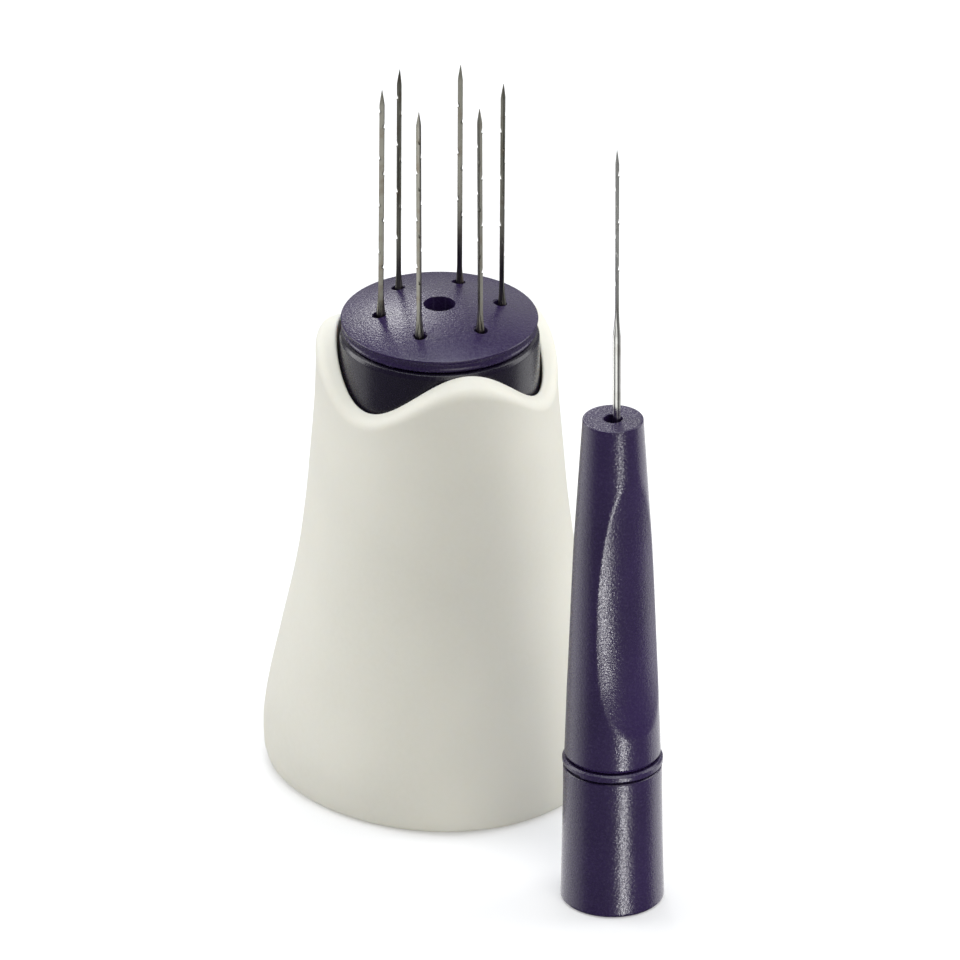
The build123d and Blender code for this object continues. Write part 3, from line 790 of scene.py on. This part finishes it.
def through_floor(light, group_name, pieces):
    """The table is a glossy sheet. Its mirror image of a lamp is a lamp under it, which shows only in the glossy pieces."""
    group = bpy.data.collections.get("floor_lets_through")
    if group is None:
        group = bpy.data.collections.new("floor_lets_through")
        group.objects.link(floor)
        for item in group.collection_objects:
            item.light_linking.link_state = "EXCLUDE"
    receivers = bpy.data.collections.get(group_name)
    if receivers is None:
        receivers = bpy.data.collections.new(group_name)
        for obj in pieces:
            receivers.objects.link(obj)
    light.light_linking.blocker_collection = group
    light.light_linking.receiver_collection = receivers
    return light


def keep_off(light, group_name, pieces):
    receivers = bpy.data.collections.get(group_name)
    if receivers is None:
        receivers = bpy.data.collections.new(group_name)
        for obj in pieces:
            receivers.objects.link(obj)
        for item in receivers.collection_objects:
            item.light_linking.link_state = "EXCLUDE"
    light.light_linking.receiver_collection = receivers
    return light


NEEDLES = [o for o in GLOSSY if o.name in [f"needle_{i}_skin" for i in range(1, 7)] + ["pen_needle_skin"]]
PEN_PIECES = [o for o in GLOSSY if o.name.startswith("pen_") and o not in NEEDLES]
sky_sun("overhead", 90, 84, 50, 1.95, (0.96, 1.0, 1.07))
softbox("top_right", -62, 60, 1.0, 0.5, 0.5, 1.6, (1.0, 0.99, 0.95))
softbox("back_box", 100.0, 34.5, 0.9, 0.14, 0.22, 1.05)
softbox("back_wall", 86, 23, 1.0, 1.5, 0.68, 2.2)
keep_off(softbox("left_box", 162, 22, 0.8, 0.45, 0.9, 4.9), "needles_unlit", NEEDLES)
keep_off(softbox("right_box", 16, 22, 0.8, 0.45, 0.9, 4.0), "needles_unlit", NEEDLES)
softbox("front_right_fill", -66, 28, 1.0, 0.55, 0.7, 3.1, (1.0, 0.985, 0.92))
through_floor(softbox("under_strip", -64, -27.6, 0.9, 0.075, 0.18, 2.9, target=(PEN_X * MM, PEN_Y * MM, 0.035)), "pen_pieces", PEN_PIECES)
through_floor(softbox("under_right", 50, -26, 0.9, 1.3, 0.40, 2.15), "pen_pieces", PEN_PIECES)
through_floor(softbox("under_left", 138, -26, 0.9, 1.3, 0.40, 2.0), "pen_pieces", PEN_PIECES)
through_floor(softbox("under_left_low", 188, -26, 0.9, 0.40, 0.40, 0.42), "pen_pieces", PEN_PIECES)
through_floor(softbox("cup_right", 30, -25, 0.9, 0.50, 0.40, 0.6), "cup_pieces", [cup])
through_floor(softbox("cup_left", 160, -25, 0.9, 0.55, 0.40, 0.45), "cup_pieces", [cup])
through_floor(softbox("needle_left", 168, -27, 0.9, 0.7, 0.5, 1.8), "needles_lit", NEEDLES)
through_floor(softbox("needle_right", 22, -27, 0.9, 0.5, 0.5, 0.75), "needles_lit", NEEDLES)
through_floor(softbox("needle_front", -100, -27, 0.9, 0.9, 0.5, 2.0), "needles_lit", NEEDLES)

PX_MM = 7.143
cam_data = bpy.data.cameras.new("camera")
cam_data.lens = 1600
cam_data.sensor_width = 36
cam = bpy.data.objects.new("camera", cam_data)
scene.collection.objects.link(cam)
width_m = 960 / PX_MM * MM
dist = cam_data.lens * width_m / cam_data.sensor_width
forward = Vector((0, math.cos(ELEV), -math.sin(ELEV)))
aim_y = -15.0
aim = Vector(((480 - 439.4) / PX_MM, aim_y, ((755 - 480) / PX_MM - math.sin(ELEV) * aim_y) / math.cos(ELEV))) * MM
cam.location = aim - forward * dist
cam.rotation_mode = "QUATERNION"
cam.rotation_quaternion = forward.to_track_quat("-Z", "Y")
cam_data.clip_start, cam_data.clip_end = 0.05, 30
cam_data.dof.use_dof = False
scene.camera = cam

scene.view_settings.view_transform = "Standard"
scene.view_settings.look = "None"
scene.view_settings.exposure = 0.0
scene.view_settings.gamma = 1.0
